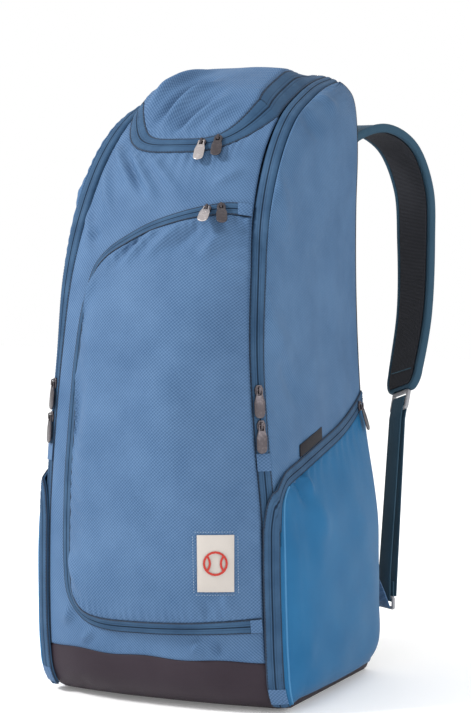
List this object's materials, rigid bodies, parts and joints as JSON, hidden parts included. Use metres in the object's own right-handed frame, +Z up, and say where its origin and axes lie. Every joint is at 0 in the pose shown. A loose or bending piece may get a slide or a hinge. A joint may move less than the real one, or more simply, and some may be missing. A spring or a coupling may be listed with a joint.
{
  "type": "racket backpack",
  "caption": "Tall soft racket backpack standing upright, with a zipped lid, large front pocket, bulging side pockets and two padded shoulder straps.",
  "frame": {"origin": "centre of the base on the floor, under the middle of the body", "axes": "+Z up, -Y out of the front face, +X to the right of someone who looks at the front"},
  "size_m": [0.3622, 0.5558, 0.7485],
  "materials": {
    "denim_cloth": "ribbed, matte",
    "bright_cloth": "smooth, slight sheen",
    "teal_tape": "plain weave, matte",
    "base_cloth": "coated, matte",
    "air_mesh": "open mesh, matte",
    "label_cloth": "smooth, matte",
    "figure_print": "raised print, satin",
    "dark_metal": "dark, satin",
    "bright_metal": "bright, satin",
    "pale_plastic": "moulded, satin"
  },
  "bodies": {
    "root": {"front_panel": "denim_cloth", "top_lid": "denim_cloth", "back_panel": "air_mesh", "base": "base_cloth", "front_pocket": "denim_cloth", "lid_zip": "teal_tape", "front_pocket_zip": "teal_tape", "side_panel_right": "denim_cloth", "main_zip_right": "teal_tape", "side_pocket_zip_right": "teal_tape", "side_pocket_right": "bright_cloth", "side_panel_left": "denim_cloth", "main_zip_left": "teal_tape", "side_pocket_zip_left": "teal_tape", "side_pocket_left": "bright_cloth", "lid_a_slider": "dark_metal", "lid_a_pull": "bright_metal", "lid_b_slider": "dark_metal", "lid_b_pull": "dark_metal", "pocket_a_slider": "dark_metal", "pocket_a_pull": "bright_metal", "pocket_b_slider": "dark_metal", "pocket_b_pull": "dark_metal", "main_right_a_slider": "dark_metal", "main_right_a_pull": "dark_metal", "main_right_b_slider": "dark_metal", "main_right_b_pull": "dark_metal", "side_pocket_right_slider": "dark_metal", "side_pocket_right_pull": "dark_metal", "main_left_a_slider": "dark_metal", "main_left_a_pull": "dark_metal", "main_left_b_slider": "dark_metal", "main_left_b_pull": "dark_metal", "side_pocket_left_slider": "dark_metal", "side_pocket_left_pull": "dark_metal", "pocket_zip_end_top": "denim_cloth", "pocket_zip_end_low": "denim_cloth", "main_zip_end_right": "denim_cloth", "side_zip_end_right": "denim_cloth", "main_zip_end_left": "denim_cloth", "side_zip_end_left": "denim_cloth", "front_patch": "label_cloth", "patch_motif": "figure_print", "side_tag_right": "air_mesh", "strap_pad_right": "teal_tape", "strap_pad_left": "teal_tape", "strap_mesh_right": "air_mesh", "strap_mesh_left": "air_mesh", "strap_webbing_right": "teal_tape", "strap_webbing_left": "teal_tape", "strap_anchor_right": "teal_tape", "strap_anchor_left": "teal_tape", "strap_adjuster_right": "pale_plastic", "strap_adjuster_left": "pale_plastic", "strap_ring_right": "pale_plastic", "strap_ring_left": "pale_plastic"}
  },
  "joints": []
}
